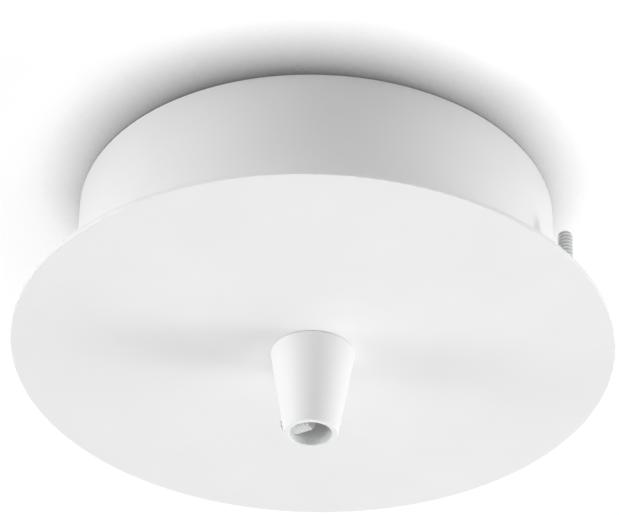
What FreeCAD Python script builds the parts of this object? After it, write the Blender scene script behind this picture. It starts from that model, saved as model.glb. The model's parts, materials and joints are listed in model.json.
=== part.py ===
import FreeCAD, Part
import Sketcher
import math
import os

# Electrical ceiling rose for one pendant.
# A drawn steel drum is screwed to the ceiling. A larger disc closes it from below, held by two
# studs and knurled nuts, and carries a conical cord grip on a hollow threaded nipple.
# Millimetres. The origin is on the ceiling at the drum's axis, +Z points up into the ceiling,
# and the viewer of the photograph stands on the -Y side.

# Every driving size: its name, its value in millimetres (degrees for an azimuth), what it is.
SIZES = [
    ("drum_radius", 48.0, "outside radius of the drum"),
    ("drum_depth", 32.0, "ceiling to the underside of the drum's flange"),
    ("drum_wall", 1.0, "sheet thickness of the drum"),
    ("drum_bend", 1.0, "inside radius of the bend at the ceiling edge"),
    ("flange_bend", 0.8, "radius in the corner between wall and flange"),
    ("recess_radius", 12.5, "radius of the pressed recess round the cable entry"),
    ("recess_depth", 2.6, "depth of that recess below the ceiling"),
    ("recess_bend", 0.6, "inside bend radius of the recess"),
    ("entry_radius", 7.0, "radius of the cable entry hole"),
    ("slot_spacing", 60.0, "distance between the centres of the fixing slots"),
    ("slot_width", 4.5, "width of a fixing slot"),
    ("slot_length", 10.0, "end to end length of a fixing slot"),
    ("cover_overhang", 2.5, "width of the cover disc outside the flange"),
    ("cover_thick", 1.0, "thickness of the cover disc"),
    ("cover_edge", 0.2, "rounding of the disc's rim"),
    ("stud_azimuth", -21.5, "direction of the right stud from the X axis"),
    ("stud_offset", 4.8, "distance of a cover stud's axis outside the drum's side"),
    ("flange_margin", 4.7, "width of the flange outside the studs' axes"),
    ("stud_radius", 1.5, "outside radius of a cover stud's thread"),
    ("stud_length", 16.0, "length of a cover stud"),
    ("stud_foot_radius", 2.25, "radius of the weld foot of a cover stud"),
    ("stud_foot_height", 0.7, "height of that foot"),
    ("stud_chamfer", 0.5, "chamfer on a stud's free end"),
    ("stud_hole_gap", 0.4, "gap round the foot in the flange's hole"),
    ("thread_gap", 0.06, "radial gap between a thread and what it screws into"),
    ("washer_gap", 0.12, "radial gap between a washer and its stud"),
    ("washer_radius", 3.5, "outside radius of the plain washers"),
    ("washer_thick", 0.5, "thickness of the plain washers"),
    ("nut_head_radius", 4.0, "radius of the knurled head of a cover nut"),
    ("nut_head_height", 2.0, "height of that head"),
    ("nut_seat_radius", 2.8, "radius of the seat collar of a cover nut"),
    ("nut_seat_height", 1.0, "height of that collar"),
    ("nut_edge", 0.3, "chamfer on the knurled head"),
    ("knurl_depth", 0.25, "depth of one knurl groove"),
    ("knurl_width", 0.5, "width of one knurl groove"),
    ("grip_length", 19.0, "length of the cord grip"),
    ("grip_base_radius", 8.35, "radius of the grip where it meets the disc"),
    ("grip_tip_radius", 5.3, "radius of the grip at its mouth"),
    ("grip_tip_round", 0.6, "rounding of the grip's outer edge at the mouth"),
    ("grip_base_edge", 0.2, "chamfer of the grip's edge at the disc"),
    ("mouth_radius", 4.2, "bore radius at the grip's mouth"),
    ("mouth_edge", 0.2, "chamfer of the bore's edge at the mouth"),
    ("mouth_lip", 1.2, "depth at which the bore starts to widen"),
    ("cavity_radius", 4.7, "bore radius where it meets the nipple's thread"),
    ("grip_thread_depth", 9.0, "depth of the nipple's thread in the grip"),
    ("clamp_azimuth", 147.0, "direction of the clamp screw from the X axis"),
    ("clamp_height", 3.45, "clamp screw's axis above the grip's mouth"),
    ("clamp_radius", 1.95, "outside radius of the clamp screw's thread"),
    ("clamp_length", 6.0, "length of the clamp screw"),
    ("clamp_tip_reach", 0.1, "distance from the grip's axis to the screw's tip"),
    ("clamp_tip_edge", 0.15, "chamfer of the clamp screw's tip"),
    ("clamp_slot_width", 0.6, "width of its driver slot"),
    ("clamp_slot_depth", 1.4, "depth of its driver slot"),
    ("nipple_radius", 5.0, "outside radius of the nipple's thread"),
    ("nipple_bore", 4.0, "bore radius of the nipple"),
    ("nipple_edge", 0.4, "chamfer on the nipple's ends"),
    ("nipple_seat_gap", 0.5, "gap between the nipple's lower end and the thread's end"),
    ("nipple_spare", 3.0, "length of nipple that stands above its nut"),
    ("nipple_nut_flats", 14.0, "nipple nut across flats"),
    ("nipple_nut_height", 3.0, "height of the nipple nut"),
    ("nut_crown", 0.15, "how far a hexagon nut's chamfered face lies inside its flats"),
    ("nipple_washer_radius", 8.5, "outside radius of the nipple's toothed washer"),
    ("nipple_washer_thick", 0.8, "thickness of that washer"),
    ("nipple_hole_gap", 0.15, "radial gap round the nipple in the disc and washer"),
    ("tooth_depth", 1.6, "depth of a notch in a toothed washer"),
    ("tooth_gap", 1.2, "width of such a notch"),
    ("grommet_bore", 5.0, "bore radius of the cable entry grommet"),
    ("grommet_radius", 9.4, "radius of the grommet's lips"),
    ("grommet_lip", 1.3, "thickness of each lip"),
    ("grommet_round", 0.5, "rounding of the lips' outer edges"),
    ("grommet_gap", 0.02, "gap between the grommet and the plate in its groove"),
    ("strip_offset", 25.0, "distance of the terminal strip's centre line from the axis"),
    ("pole_pitch", 12.4, "distance between neighbouring poles"),
    ("strip_end", 0.5, "width of the strip beyond a barrel's end"),
    ("web_thick", 4.0, "thickness of the web between the poles"),
    ("web_width", 9.0, "width of that web"),
    ("barrel_height", 4.4, "barrel's axis above the strip's mounting face"),
    ("barrel_radius", 2.7, "outside radius of a brass barrel"),
    ("barrel_bore", 1.6, "radius of a barrel's wire bore"),
    ("barrel_end", 3.25, "length of a barrel beyond its screws' axes"),
    ("barrel_gap", 0.08, "radial gap round a barrel in its channel"),
    ("pole_wall", 0.9, "plastic wall over a barrel"),
    ("tower_radius", 3.3, "outside radius of a screw tower"),
    ("tower_height", 12.8, "top of the towers above the mounting face"),
    ("tower_spacing", 8.5, "distance between the two screws of a pole"),
    ("well_radius", 2.3, "radius of a screw well"),
    ("screw_radius", 1.3, "radius of a terminal screw's thread"),
    ("screw_length", 4.6, "length of its thread"),
    ("screw_head_radius", 2.0, "radius of its head"),
    ("screw_head_height", 1.6, "height of its head"),
    ("screw_slot_width", 0.6, "width of the slot in small screw heads"),
    ("screw_slot_depth", 0.7, "depth of that slot"),
    ("collar_radius", 2.2, "outside radius of a tapped collar in the drum's back"),
    ("collar_height", 2.0, "height of such a collar below the back"),
    ("collar_gap", 0.2, "gap round a collar in the strip's web"),
    ("mount_radius", 1.2, "radius of a strip fixing screw"),
    ("mount_head_radius", 2.25, "radius of its head"),
    ("mount_head_height", 1.6, "height of its head"),
    ("mount_end_gap", 0.3, "distance of its end below the ceiling"),
    ("mount_hole_gap", 0.15, "gap round it in the web"),
    ("earth_offset", 26.0, "distance of the earth stud from the axis"),
    ("earth_radius", 2.0, "radius of the earth stud's thread"),
    ("earth_length", 12.0, "length of the earth stud"),
    ("earth_foot_radius", 2.75, "radius of its weld foot"),
    ("earth_foot_height", 0.7, "height of its weld foot"),
    ("earth_nut_flats", 7.0, "earth nut across flats"),
    ("earth_nut_height", 3.2, "height of the earth nut"),
    ("earth_washer_radius", 4.4, "outside radius of the earth washer"),
    ("earth_washer_thick", 0.9, "thickness of the earth washer"),
    ("earth_tooth_depth", 0.9, "depth of a notch in the earth washer"),
    ("earth_tooth_gap", 0.8, "width of such a notch"),
]

POLES = ("live", "neutral", "earth")
SIDES = ("supply", "lamp")
KNURLS = 24
NIPPLE_TEETH = 12
EARTH_TEETH = 10
HEX_SIDES = 6
HEX_CHAMFER_SLOPE = math.tan(math.radians(60))
# A cut that goes through runs past the far side by as much again.
THROUGH = 2
FULL_TURN = 360.0
HALF_TURN = 180.0
QUARTER_TURN = 90.0
UP = FreeCAD.Vector(0, 0, 1)
X_WAY = FreeCAD.Vector(1, 0, 0)
Y_WAY = FreeCAD.Vector(0, 1, 0)
# How constraints call a sketch's origin and axes, and the points of a shape.
ORIGIN = H_AXIS = -1
V_AXIS = H_AXIS - 1
START, END, CENTRE = range(1, 4)
NEAR = 1e-4

doc = FreeCAD.newDocument("CeilingRose")
sheet = doc.addObject("Spreadsheet::Sheet", "Sizes")
for row, (alias, value, meaning) in enumerate(SIZES, start=1):
    sheet.set(f"A{row}", meaning)
    sheet.set(f"B{row}", str(value))
    sheet.setAlias(f"B{row}", alias)
doc.recompute()


class Size:
    """A length with the formula that gives it from the sheet's cells."""

    def __init__(self, value, text):
        self.value = value
        self.text = text

    def __add__(self, other):
        other = as_size(other)
        return Size(self.value + other.value, f"({self.text} + {other.text})")

    def __sub__(self, other):
        other = as_size(other)
        return Size(self.value - other.value, f"({self.text} - {other.text})")

    def __mul__(self, other):
        other = as_size(other)
        return Size(self.value * other.value, f"({self.text} * {other.text})")

    def __truediv__(self, other):
        other = as_size(other)
        return Size(self.value / other.value, f"({self.text} / {other.text})")

    def __neg__(self):
        return Size(-self.value, f"(0 - {self.text})")


def as_size(number):
    """A plain number as a size, or the size itself."""
    return number if isinstance(number, Size) else Size(float(number), repr(float(number)))


class Cells:
    """The sheet's sizes by name."""

    def __getattr__(self, alias):
        return Size(float(sheet.get(alias)), f"Sizes.{alias}")


mm = Cells()
ZERO = Size(0.0, "0")


def bind(thing, **formulas):
    """Tie properties of an object to the sheet."""
    for name, size in formulas.items():
        thing.setExpression(name, as_size(size).text)


def new_body(name):
    body = doc.addObject("PartDesign::Body", name)
    body.Label = name
    return body


def put(thing, x=ZERO, y=ZERO, z=ZERO, turn=0.0, tip_over=0.0, about=Y_WAY):
    """Place a piece: tip it over about one axis, turn it about Z, then move it."""
    turned = FreeCAD.Rotation(UP, turn)
    tipped = FreeCAD.Rotation(about, tip_over)
    where = FreeCAD.Vector(x.value, y.value, z.value)
    thing.Placement = FreeCAD.Placement(where, turned * tipped)


def own_plane(body, role):
    return next(item for item in body.Origin.OriginFeatures if item.Role == role)


def new_sketch(body, name, role, lift=ZERO, turn=0.0, about=UP):
    """A sketch on one of the body's planes, lifted off it and turned."""
    sketch = body.newObject("Sketcher::SketchObject", name)
    sketch.AttachmentSupport = [(own_plane(body, role), "")]
    sketch.MapMode = "FlatFace"
    sketch.AttachmentOffset = FreeCAD.Placement(
        FreeCAD.Vector(0, 0, lift.value), FreeCAD.Rotation(about, turn)
    )
    if lift is not ZERO:
        sketch.setExpression("AttachmentOffset.Base.z", lift.text)
    return sketch


def pin_point(sketch, shape, end, x, y):
    """Hold a sketch point at its distance from each axis, or on the axis for ZERO."""
    for kind, axis, size in (("DistanceX", V_AXIS, x), ("DistanceY", H_AXIS, y)):
        if size is ZERO:
            sketch.addConstraint(Sketcher.Constraint("PointOnObject", shape, end, axis))
            continue
        rule = Sketcher.Constraint(kind, ORIGIN, START, shape, end, size.value)
        index = sketch.addConstraint(rule)
        sketch.setExpression(f"Constraints[{index}]", size.text)


def draw_outline(sketch, corners):
    """Join corners by straight lines and close them."""
    points = [FreeCAD.Vector(x.value, y.value, 0) for x, y in corners]
    pairs = zip(points, points[1:] + points[:1])
    lines = [sketch.addGeometry(Part.LineSegment(a, b), False) for a, b in pairs]
    for index, line in enumerate(lines):
        joint = Sketcher.Constraint("Coincident", lines[index - 1], END, line, START)
        sketch.addConstraint(joint)
    for line, (x, y) in zip(lines, corners):
        pin_point(sketch, line, START, x, y)


def draw_circle(sketch, x, y, radius):
    centre = FreeCAD.Vector(x.value, y.value, 0)
    shape = sketch.addGeometry(Part.Circle(centre, UP, radius.value), False)
    pin_point(sketch, shape, CENTRE, x, y)
    index = sketch.addConstraint(Sketcher.Constraint("Radius", shape, radius.value))
    sketch.setExpression(f"Constraints[{index}]", radius.text)


def draw_box(sketch, low_x, high_x, low_y, high_y):
    draw_outline(sketch, [(low_x, low_y), (high_x, low_y), (high_x, high_y), (low_x, high_y)])


def revolve(body, name, corners):
    """Turn an outline of (radius, height) corners about the body's Z axis."""
    sketch = new_sketch(body, name + "_profile", "XZ_Plane")
    draw_outline(sketch, corners)
    turned = body.newObject("PartDesign::Revolution", name)
    turned.Profile = (sketch, [""])
    turned.ReferenceAxis = (sketch, ["V_Axis"])
    turned.Angle = FULL_TURN
    sketch.Visibility = False
    doc.recompute()
    return turned


def extrude(body, kind, sketch, name, length, backwards=False, both=False):
    """A Pad or a Pocket whose length is tied to the sheet."""
    before = body.Shape.Volume if kind == "Pocket" else 0.0
    feature = body.newObject("PartDesign::" + kind, name)
    feature.Profile = (sketch, [""])
    feature.Reversed = backwards
    feature.Midplane = both
    bind(feature, Length=length)
    doc.recompute()
    if kind == "Pocket" and body.Shape.Volume > before - NEAR:
        raise RuntimeError(f"{name} cuts nothing")
    return feature


def repeat(body, name, features, copies, axis_role="Z_Axis"):
    """Copies of features at equal angles round an axis of the body."""
    pattern = body.newObject("PartDesign::PolarPattern", name)
    pattern.Originals = features
    pattern.Axis = (own_plane(body, axis_role), [""])
    pattern.Angle = FULL_TURN
    pattern.Occurrences = copies
    body.Tip = pattern
    doc.recompute()
    return pattern


def rings(shape, radius, height):
    """Names of the circular edges of a radius at a height."""
    found = []
    for index, edge in enumerate(shape.Edges, start=1):
        curve = edge.Curve
        if not isinstance(curve, Part.Circle):
            continue
        same_radius = abs(curve.Radius - radius.value) < NEAR
        if same_radius and abs(curve.Center.z - height.value) < NEAR:
            found.append(f"Edge{index}")
    if not found:
        raise RuntimeError(f"no edge of radius {radius.value} at height {height.value}")
    return found


def round_rings(body, name, base, spots, radius):
    """Round circular edges, each named by its radius and height."""
    fillet = body.newObject("PartDesign::Fillet", name)
    fillet.Base = (base, [edge for spot in spots for edge in rings(base.Shape, *spot)])
    bind(fillet, Radius=radius)
    doc.recompute()
    return fillet


def hex_nut(name, flats, height, bore):
    """A hexagon nut on its seat face, with its free face chamfered."""
    prism = doc.addObject("Part::Prism", name + "_hexagon")
    prism.Polygon = HEX_SIDES
    corner = flats / (2 * math.cos(math.pi / HEX_SIDES))
    bind(prism, Circumradius=corner, Height=height)
    cone = doc.addObject("Part::Cone", name + "_chamfer")
    crown = flats / 2 - mm.nut_crown
    bind(cone, Radius1=crown + height * HEX_CHAMFER_SLOPE, Radius2=crown, Height=height)
    blank = doc.addObject("Part::Common", name + "_blank")
    blank.Base = prism
    blank.Tool = cone
    hole = doc.addObject("Part::Cylinder", name + "_bore")
    bind(hole, Radius=bore, Height=height)
    nut = doc.addObject("Part::Cut", name)
    nut.Base = blank
    nut.Tool = hole
    nut.Label = name
    doc.recompute()
    return nut


def toothed_washer(name, radius, bore, thick, notch_depth, notch_width, teeth):
    """A flat washer with square notches round its outside."""
    body = new_body(name)
    ring = new_sketch(body, name + "_ring", "XY_Plane")
    draw_circle(ring, ZERO, ZERO, radius)
    draw_circle(ring, ZERO, ZERO, bore)
    extrude(body, "Pad", ring, name + "_blank", thick)
    notch = new_sketch(body, name + "_notch", "XY_Plane", lift=thick)
    draw_box(notch, radius - notch_depth, radius + notch_depth, ZERO, notch_width)
    cut = extrude(body, "Pocket", notch, name + "_cut", thick * THROUGH)
    repeat(body, name + "_teeth", [cut], teeth)
    return body


def weld_stud(name, radius, length, foot_radius, foot_height, chamfer):
    """A threaded stud that stands on its weld foot at height 0."""
    body = new_body(name)
    revolve(body, name + "_turned", [
        (ZERO, ZERO),
        (foot_radius, ZERO),
        (foot_radius, foot_height),
        (radius, foot_height),
        (radius, length - chamfer),
        (radius - chamfer, length),
        (ZERO, length),
    ])
    return body


def slotted_screw(name, radius, length, head_radius, head_height, slot_width, slot_depth):
    """A cheese head screw whose tip is at height 0 and whose slot is on top."""
    body = new_body(name)
    top = length + head_height
    revolve(body, name + "_turned", [
        (ZERO, ZERO),
        (radius, ZERO),
        (radius, length),
        (head_radius, length),
        (head_radius, top),
        (ZERO, top),
    ])
    cut_driver_slot(body, name, head_radius, slot_width, slot_depth, top)
    return body


def cut_driver_slot(body, name, reach, width, depth, top):
    """A straight slot across the top face of a screw, along its Y axis."""
    slot = new_sketch(body, name + "_slot", "YZ_Plane")
    draw_box(slot, ZERO, reach * THROUGH, top - depth, top + depth)
    cut = extrude(body, "Pocket", slot, name + "_slot_half", width, both=True)
    repeat(body, name + "_slot_full", [cut], 2)


# Radii outside the drum, from its side outwards.
stud_circle = mm.drum_radius + mm.stud_offset
flange_radius = stud_circle + mm.flange_margin
cover_radius = flange_radius + mm.cover_overhang

# Lengths across the terminal strip, from the two screws of a pole outwards.
barrel_length = mm.tower_spacing + mm.barrel_end * 2
strip_width = barrel_length + mm.strip_end * 2

# Heights of the stack, measured from the ceiling down.
flange_top = -(mm.drum_depth - mm.drum_wall)
cover_top = -mm.drum_depth
cover_under = cover_top - mm.cover_thick
grip_mouth = cover_under - mm.grip_length


def make_drum():
    """The drawn cup: its back lies on the ceiling and its flange turns outwards."""
    body = new_body("canopy_drum")
    wall, height = mm.drum_wall, mm.drum_depth
    inside = mm.drum_radius - wall
    recess_floor = height - mm.recess_depth
    boss = mm.recess_radius + wall
    cup = revolve(body, "drum_section", [
        (mm.entry_radius, recess_floor - wall),
        (boss, recess_floor - wall),
        (boss, height - wall),
        (inside, height - wall),
        (inside, ZERO),
        (flange_radius, ZERO),
        (flange_radius, wall),
        (mm.drum_radius, wall),
        (mm.drum_radius, height),
        (mm.recess_radius, height),
        (mm.recess_radius, recess_floor),
        (mm.entry_radius, recess_floor),
    ])
    corner = [(mm.drum_radius, height)]
    base = round_rings(body, "ceiling_bend_outside", cup, corner, mm.drum_bend + wall)
    base = round_rings(body, "ceiling_bend_inside", base, [(inside, height - wall)], mm.drum_bend)
    base = round_rings(body, "flange_bend_outside", base, [(mm.drum_radius, wall)], mm.flange_bend)
    base = round_rings(body, "flange_bend_inside", base, [(inside, ZERO)], mm.flange_bend + wall)
    tight = [(mm.recess_radius, recess_floor), (boss, height - wall)]
    base = round_rings(body, "recess_bend_tight", base, tight, mm.recess_bend)
    wide = [(mm.recess_radius, height), (boss, recess_floor - wall)]
    round_rings(body, "recess_bend_wide", base, wide, mm.recess_bend + wall)

    # Two slots in one line for the ceiling screws.
    slot = new_sketch(body, "fixing_slot", "XY_Plane", lift=height)
    draw_slot(slot, mm.slot_spacing / 2, mm.slot_length, mm.slot_width)
    cut = extrude(body, "Pocket", slot, "fixing_slot_cut", wall * THROUGH)
    repeat(body, "fixing_slots", [cut], 2)

    # Holes in the flange that the feet of the cover studs pass through.
    seat = new_sketch(body, "stud_hole", "XY_Plane", lift=wall, turn=mm.stud_azimuth.value)
    bind(seat, **{"AttachmentOffset.Rotation.Angle": mm.stud_azimuth})
    draw_circle(seat, stud_circle, ZERO, mm.stud_foot_radius + mm.stud_hole_gap)
    cut = extrude(body, "Pocket", seat, "stud_hole_cut", wall * THROUGH)
    repeat(body, "stud_holes", [cut], 2)

    # Tapped collars, drawn down from the back, for the terminal strip's screws.
    reach = mm.pole_pitch / 2
    neck = new_sketch(body, "collar", "XY_Plane", lift=height - wall)
    draw_circle(neck, reach, mm.strip_offset, mm.collar_radius)
    collar = extrude(body, "Pad", neck, "collar_neck", mm.collar_height, backwards=True)
    tapped = new_sketch(body, "collar_thread", "XY_Plane", lift=height)
    draw_circle(tapped, reach, mm.strip_offset, mm.mount_radius + mm.thread_gap)
    hole = extrude(body, "Pocket", tapped, "collar_hole", (wall + mm.collar_height) * THROUGH)
    twin = body.newObject("PartDesign::Mirrored", "collars")
    twin.Originals = [collar, hole]
    twin.MirrorPlane = (own_plane(body, "YZ_Plane"), [""])
    body.Tip = twin
    put(body, z=cover_top)
    return body


def draw_slot(sketch, middle, length, width):
    """A round-ended slot along the sketch's X axis."""
    reach = (length - width) / 2
    half = width / 2
    ends = []
    for sign, first in ((-1, math.pi / 2), (1, -math.pi / 2)):
        at = middle + reach * sign
        centre = FreeCAD.Vector(at.value, 0, 0)
        arc = Part.ArcOfCircle(Part.Circle(centre, UP, half.value), first, first + math.pi)
        shape = sketch.addGeometry(arc, False)
        pin_point(sketch, shape, CENTRE, at, ZERO)
        ends.append(shape)
    left, right = ends
    low = FreeCAD.Vector(0, -half.value, 0)
    high = FreeCAD.Vector(0, half.value, 0)
    a = FreeCAD.Vector((middle - reach).value, 0, 0)
    b = FreeCAD.Vector((middle + reach).value, 0, 0)
    lower = sketch.addGeometry(Part.LineSegment(a + low, b + low), False)
    upper = sketch.addGeometry(Part.LineSegment(b + high, a + high), False)
    for one, one_end, other, other_end in (
        (left, END, lower, START),
        (lower, END, right, START),
        (right, END, upper, START),
        (upper, END, left, START),
    ):
        sketch.addConstraint(Sketcher.Constraint("Tangent", one, one_end, other, other_end))
    index = sketch.addConstraint(Sketcher.Constraint("Radius", left, half.value))
    sketch.setExpression(f"Constraints[{index}]", half.text)


def make_cover():
    """The flat disc with its centre hole."""
    body = new_body("cover_disc")
    plan = new_sketch(body, "cover_plan", "XY_Plane")
    draw_circle(plan, ZERO, ZERO, cover_radius)
    draw_circle(plan, ZERO, ZERO, mm.nipple_radius + mm.nipple_hole_gap)
    blank = extrude(body, "Pad", plan, "cover_blank", mm.cover_thick)
    rims = [(cover_radius, ZERO), (cover_radius, mm.cover_thick)]
    round_rings(body, "cover_rim", blank, rims, mm.cover_edge)
    put(body, z=cover_under)
    return body


def around(azimuth, distance):
    """A place at an azimuth and a distance from the axis."""
    angle = math.radians(azimuth)
    return {
        "x": distance * math.cos(angle),
        "y": distance * math.sin(angle),
    }


def make_cover_fixing(side, azimuth):
    """One stud of the cover, its nut and its washer, in place."""
    spot = around(azimuth, stud_circle)
    stud = weld_stud(
        "cover_stud_" + side,
        mm.stud_radius,
        mm.stud_length,
        mm.stud_foot_radius,
        mm.stud_foot_height,
        mm.stud_chamfer,
    )
    put(stud, z=cover_top, turn=azimuth, **spot)
    nut = make_cover_nut("cover_nut_" + side)
    put(nut, z=flange_top + mm.washer_thick, turn=azimuth, **spot)
    return [stud, nut], plain_washer("stud_washer_" + side, spot)


def make_cover_nut(name):
    """A low knurled nut, seated on its collar at height 0."""
    body = new_body(name)
    bore = mm.stud_radius + mm.thread_gap
    top = mm.nut_seat_height + mm.nut_head_height
    revolve(body, name + "_turned", [
        (bore, ZERO),
        (mm.nut_seat_radius, ZERO),
        (mm.nut_seat_radius, mm.nut_seat_height),
        (mm.nut_head_radius - mm.nut_edge, mm.nut_seat_height),
        (mm.nut_head_radius, mm.nut_seat_height + mm.nut_edge),
        (mm.nut_head_radius, top - mm.nut_edge),
        (mm.nut_head_radius - mm.nut_edge, top),
        (bore, top),
    ])
    groove = new_sketch(body, name + "_knurl", "XY_Plane", lift=top)
    outer = mm.nut_head_radius + mm.knurl_depth
    corners = [
        (mm.nut_head_radius - mm.knurl_depth, ZERO),
        (outer, mm.knurl_width),
        (outer, ZERO),
    ]
    draw_outline(groove, corners)
    cut = extrude(body, "Pocket", groove, name + "_groove", mm.nut_head_height * THROUGH)
    repeat(body, name + "_knurling", [cut], KNURLS)
    return body


def plain_washer(name, spot):
    """A plain washer on the drum's flange."""
    outside = doc.addObject("Part::Cylinder", name + "_outside")
    bind(outside, Radius=mm.washer_radius, Height=mm.washer_thick)
    inside = doc.addObject("Part::Cylinder", name + "_inside")
    bind(inside, Radius=mm.stud_radius + mm.washer_gap, Height=mm.washer_thick)
    washer = doc.addObject("Part::Cut", name)
    washer.Base = outside
    washer.Tool = inside
    put(washer, z=flange_top, **spot)
    return washer


def make_grip():
    """The conical cord grip: nipple thread above, widening cavity, short lip at the mouth."""
    body = new_body("cord_grip")
    top = mm.grip_length
    thread = mm.nipple_radius + mm.thread_gap
    thread_end = top - mm.grip_thread_depth
    cone = revolve(body, "grip_section", [
        (mm.mouth_radius + mm.mouth_edge, ZERO),
        (mm.grip_tip_radius, ZERO),
        (mm.grip_base_radius, top - mm.grip_base_edge),
        (mm.grip_base_radius - mm.grip_base_edge, top),
        (thread, top),
        (thread, thread_end),
        (mm.cavity_radius, thread_end),
        (mm.mouth_radius, mm.mouth_lip),
        (mm.mouth_radius, mm.mouth_edge),
    ])
    round_rings(body, "grip_tip", cone, [(mm.grip_tip_radius, ZERO)], mm.grip_tip_round)
    side = new_sketch(
        body, "clamp_hole", "YZ_Plane", turn=mm.clamp_azimuth.value, about=Y_WAY
    )
    bind(side, **{"AttachmentOffset.Rotation.Angle": mm.clamp_azimuth})
    draw_circle(side, ZERO, mm.clamp_height, mm.clamp_radius + mm.thread_gap)
    extrude(body, "Pocket", side, "clamp_hole_cut", mm.grip_base_radius * THROUGH, backwards=True)
    put(body, z=grip_mouth)
    return body


def make_clamp_screw():
    """The nylon grub screw: flat tip at height 0, driver slot on its outer end."""
    body = new_body("clamp_screw")
    revolve(body, "clamp_turned", [
        (ZERO, ZERO),
        (mm.clamp_radius - mm.clamp_tip_edge, ZERO),
        (mm.clamp_radius, mm.clamp_tip_edge),
        (mm.clamp_radius, mm.clamp_length),
        (ZERO, mm.clamp_length),
    ])
    cut_driver_slot(
        body, "clamp", mm.clamp_radius, mm.clamp_slot_width, mm.clamp_slot_depth, mm.clamp_length
    )
    spot = around(mm.clamp_azimuth.value, mm.clamp_tip_reach)
    height = grip_mouth + mm.clamp_height
    put(body, z=height, turn=mm.clamp_azimuth.value, tip_over=QUARTER_TURN, **spot)
    return body


def make_nipple():
    """The hollow nipple, its toothed washer and its nut on top of the disc."""
    above = mm.cover_thick + mm.nipple_washer_thick + mm.nipple_nut_height + mm.nipple_spare
    length = mm.grip_thread_depth - mm.nipple_seat_gap + above
    body = new_body("hollow_nipple")
    edge = mm.nipple_edge
    revolve(body, "nipple_tube", [
        (mm.nipple_bore, ZERO),
        (mm.nipple_radius - edge, ZERO),
        (mm.nipple_radius, edge),
        (mm.nipple_radius, length - edge),
        (mm.nipple_radius - edge, length),
        (mm.nipple_bore, length),
    ])
    put(body, z=cover_under - mm.grip_thread_depth + mm.nipple_seat_gap)
    washer = toothed_washer(
        "nipple_washer",
        mm.nipple_washer_radius,
        mm.nipple_radius + mm.nipple_hole_gap,
        mm.nipple_washer_thick,
        mm.tooth_depth,
        mm.tooth_gap,
        NIPPLE_TEETH,
    )
    put(washer, z=cover_top)
    nut = hex_nut(
        "nipple_nut", mm.nipple_nut_flats, mm.nipple_nut_height, mm.nipple_radius + mm.thread_gap
    )
    put(nut, z=cover_top + mm.nipple_washer_thick)
    return [body, washer, nut]


def make_grommet():
    """The rubber grommet, gripping the floor of the drum's recess in its groove."""
    body = new_body("entry_grommet")
    lip, gap = mm.grommet_lip, mm.grommet_gap
    neck = mm.entry_radius - gap
    groove_top = lip + mm.drum_wall + gap * 2
    top = groove_top + lip
    ring = revolve(body, "grommet_section", [
        (mm.grommet_bore, ZERO),
        (mm.grommet_radius, ZERO),
        (mm.grommet_radius, lip),
        (neck, lip),
        (neck, groove_top),
        (mm.grommet_radius, groove_top),
        (mm.grommet_radius, top),
        (mm.grommet_bore, top),
    ])
    rims = [(mm.grommet_radius, ZERO), (mm.grommet_radius, top)]
    round_rings(body, "grommet_rims", ring, rims, mm.grommet_round)
    put(body, z=-(mm.recess_depth + mm.drum_wall) - lip - gap)
    return body


def make_housing():
    """The moulded strip, drawn on its mounting face from one corner, then turned face up."""
    body = new_body("terminal_housing")
    pitch, across = mm.pole_pitch, strip_width
    centre = pitch / 2
    arch = mm.barrel_radius + mm.barrel_gap + mm.pole_wall
    run = pitch * (len(POLES) - 1)

    web = new_sketch(body, "web", "XY_Plane")
    draw_box(web, centre, centre + run, (across - mm.web_width) / 2, (across + mm.web_width) / 2)
    extrude(body, "Pad", web, "web_slab", mm.web_thick)

    front = new_sketch(body, "pole", "XZ_Plane")
    draw_arch(front, centre, mm.barrel_height, arch)
    pole = extrude(body, "Pad", front, "pole_shell", across, backwards=True)

    lower = (across - mm.tower_spacing) / 2
    upper = (across + mm.tower_spacing) / 2
    plan = new_sketch(body, "towers", "XY_Plane")
    draw_circle(plan, centre, lower, mm.tower_radius)
    draw_circle(plan, centre, upper, mm.tower_radius)
    towers = extrude(body, "Pad", plan, "tower_blanks", mm.tower_height)

    channel = new_sketch(body, "channel", "XZ_Plane")
    draw_circle(channel, centre, mm.barrel_height, mm.barrel_radius + mm.barrel_gap)
    tunnel = extrude(body, "Pocket", channel, "barrel_channel", across * THROUGH)

    mouths = new_sketch(body, "wells", "XY_Plane", lift=mm.tower_height)
    draw_circle(mouths, centre, lower, mm.well_radius)
    draw_circle(mouths, centre, upper, mm.well_radius)
    wells = extrude(body, "Pocket", mouths, "screw_wells", mm.tower_height - mm.barrel_height)

    row_of = body.newObject("PartDesign::LinearPattern", "poles")
    row_of.Originals = [pole, towers, tunnel, wells]
    row_of.Direction = (own_plane(body, "X_Axis"), [""])
    bind(row_of, Length=run)
    row_of.Occurrences = len(POLES)
    body.Tip = row_of
    doc.recompute()

    for name, radius, depth in (
        ("mount_holes", mm.mount_radius + mm.mount_hole_gap, mm.web_thick * THROUGH),
        ("collar_rooms", mm.collar_radius + mm.collar_gap, mm.collar_height + mm.collar_gap),
    ):
        holes = new_sketch(body, name, "XY_Plane")
        for gap_index in range(1, len(POLES)):
            draw_circle(holes, pitch * gap_index, across / 2, radius)
        extrude(body, "Pocket", holes, name + "_cut", depth, backwards=True)
    put(body, **strip_corner(), tip_over=HALF_TURN, about=X_WAY)
    return body


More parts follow.
